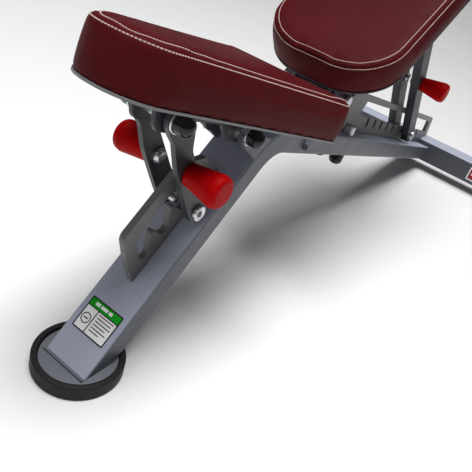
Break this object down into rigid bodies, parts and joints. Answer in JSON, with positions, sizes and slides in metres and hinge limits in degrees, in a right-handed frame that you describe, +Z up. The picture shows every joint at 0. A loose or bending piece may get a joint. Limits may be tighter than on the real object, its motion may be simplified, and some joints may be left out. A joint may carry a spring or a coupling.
{
  "type": "adjustable weight bench",
  "caption": "Incline exercise bench: seat and back pads hinge on a bent box-tube frame, each propped by arms whose pins rest in a notched ladder plate.",
  "frame": {"origin": "centre of the front foot's underside, on the floor", "axes": "+Z up; +Y from the front foot along the bench to the rear cross tube; +X to the right when looking along +Y"},
  "size_m": [0.608, 1.476, 0.8602],
  "materials": {
    "frame_paint": "satin powder coat, grey-blue",
    "arm_paint": "satin powder coat, darker grey",
    "ladder_paint": "satin, neutral grey plate",
    "plate_paint": "satin powder coat, grey-blue",
    "zinc": "bright zinc plate",
    "black_plastic": "glossy moulded",
    "rubber": "matte moulded",
    "red_grip": "satin moulded, red",
    "upholstery": "maroon vinyl with cream double stitching",
    "board": "grey moulded edge",
    "label": null
  },
  "bodies": {
    "frame": {"back_bracket_left": "frame_paint", "back_bracket_right": "frame_paint", "back_hinge_axle": "zinc", "back_hinge_nuts": "zinc", "back_hinge_rings": "zinc", "beam_stud_caps": "black_plastic", "beam_stud_nuts": "zinc", "cross_label": "label", "foot_weld": "plate_paint", "front_foot_plate": "plate_paint", "front_foot_rubber": "rubber", "front_ladder": "ladder_paint", "leg_label": "label", "main_tube": "frame_paint", "rear_cross_tube": "frame_paint", "rear_end_caps": "black_plastic", "rear_ladder": "ladder_paint", "rear_rubber_feet": "rubber", "seat_bracket_left": "frame_paint", "seat_bracket_right": "frame_paint", "seat_hinge_axle": "zinc", "seat_hinge_caps": "black_plastic", "seat_hinge_rings": "zinc", "seat_hinge_spacers": "zinc"},
    "seat": {"seat_board": "board", "seat_cushion": "upholstery", "seat_pivot_axle": "zinc", "seat_pivot_caps": "black_plastic", "seat_pivot_rings": "zinc", "seat_plate_left": "arm_paint", "seat_plate_right": "arm_paint", "seat_screws": "zinc"},
    "seat_arms": {"seat_arm_left": "arm_paint", "seat_arm_right": "arm_paint", "seat_grip_bolts": "zinc", "seat_grip_left": "red_grip", "seat_grip_right": "red_grip", "seat_pins": "zinc"},
    "back": {"back_board": "board", "back_cushion": "upholstery", "back_hinge_sleeve": "zinc", "back_pivot_axle": "zinc", "back_pivot_caps": "black_plastic", "back_pivot_rings": "zinc", "back_plate_left": "arm_paint", "back_plate_right": "arm_paint", "back_screws": "zinc"},
    "back_arms": {"back_arm_left": "arm_paint", "back_arm_right": "arm_paint", "back_grip_bolts": "zinc", "back_grip_left": "red_grip", "back_grip_right": "red_grip", "back_pins": "zinc"}
  },
  "joints": [
    {"name": "seat_tilt", "type": "hinge", "parent": "frame", "child": "seat", "pos_m": [0, 0.215, 0.336], "axis": [-1, 0, 0], "range_deg": [-13.7, 3.2]},
    {"name": "seat_arm_swing", "type": "hinge", "parent": "seat", "child": "seat_arms", "pos_m": [0, 0.06, 0.379], "axis": [-1, 0, 0], "range_deg": [-7.7, 32.9]},
    {"name": "back_tilt", "type": "hinge", "parent": "frame", "child": "back", "pos_m": [0, 0.465, 0.36], "axis": [1, 0, 0], "range_deg": [-15.5, 31]},
    {"name": "back_arm_swing", "type": "hinge", "parent": "back", "child": "back_arms", "pos_m": [0, 0.8199, 0.5195], "axis": [1, 0, 0], "range_deg": [-57.1, 28.6]}
  ],
  "couplings": [
    {"joint": "seat_arm_swing", "follows": "seat_tilt", "ratio": -2.4},
    {"joint": "back_arm_swing", "follows": "back_tilt", "ratio": -1.84}
  ]
}
